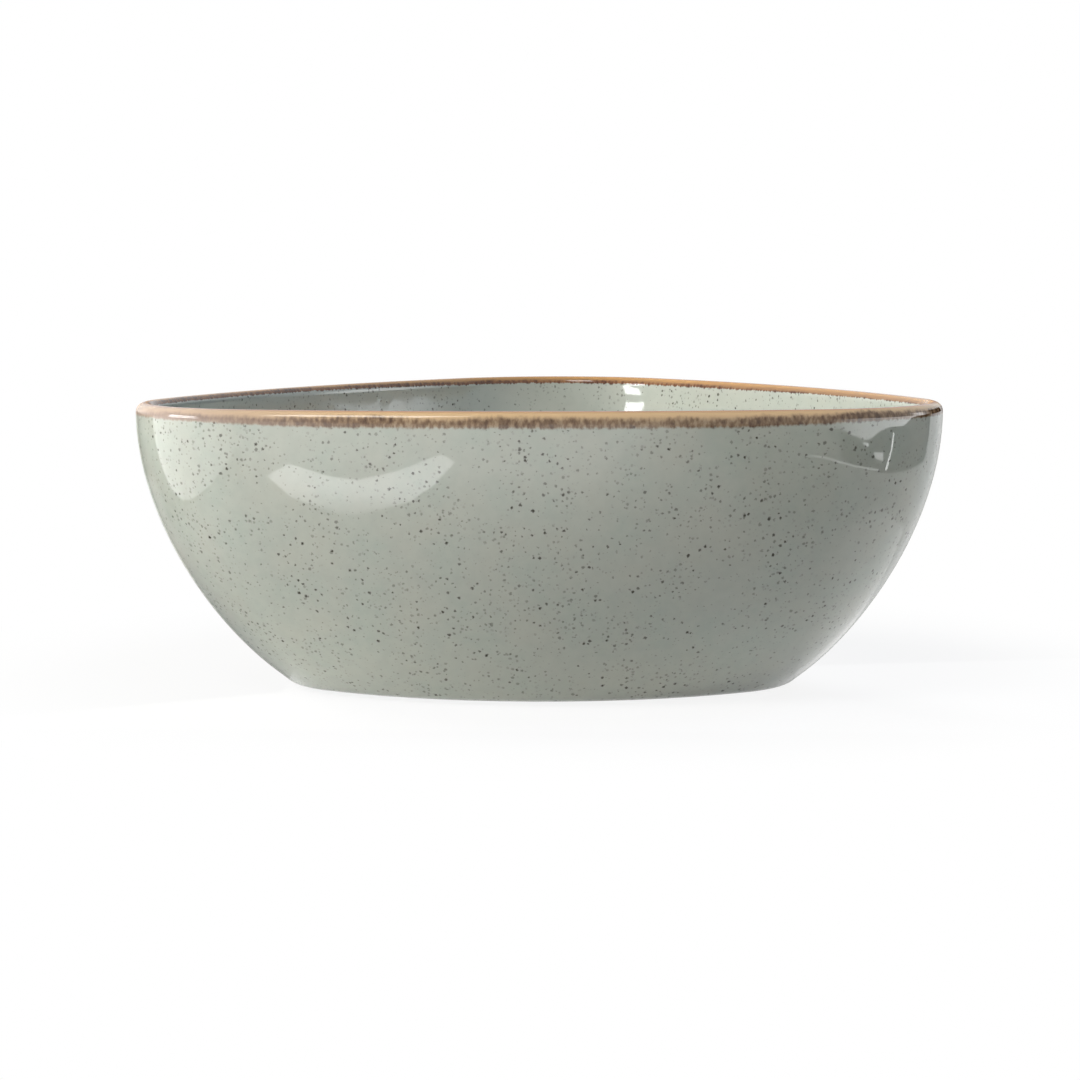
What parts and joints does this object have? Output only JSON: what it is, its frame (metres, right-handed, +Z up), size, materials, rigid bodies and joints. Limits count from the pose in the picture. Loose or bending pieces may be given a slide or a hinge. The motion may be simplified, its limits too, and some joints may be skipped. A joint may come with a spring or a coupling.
{
  "type": "triangular bowl",
  "caption": "Open rounded-triangle stoneware bowl with curved walls, a speckled grey glaze, a brown rim band and a bare foot ring, for serving and holding food.",
  "frame": {"origin": "middle of the bowl's bounding box, on the plane that the foot ring stands on", "axes": "+Z up out of the bowl's mouth, -Y towards the middle of one side, +Y towards the opposite corner, +X along the width of that side"},
  "size_m": [0.1998, 0.1914, 0.0725],
  "materials": {
    "bare_clay": "matte fired stoneware, unglazed",
    "grey_glaze": "glossy grey glaze with dark iron specks",
    "brown_glaze": "glossy amber-brown glaze that streaks into the grey"
  },
  "bodies": {
    "root": {"clay_body": "bare_clay", "outer_glaze": "grey_glaze", "inner_glaze": "grey_glaze", "rim_glaze": "brown_glaze", "base_glaze": "grey_glaze"}
  },
  "joints": []
}
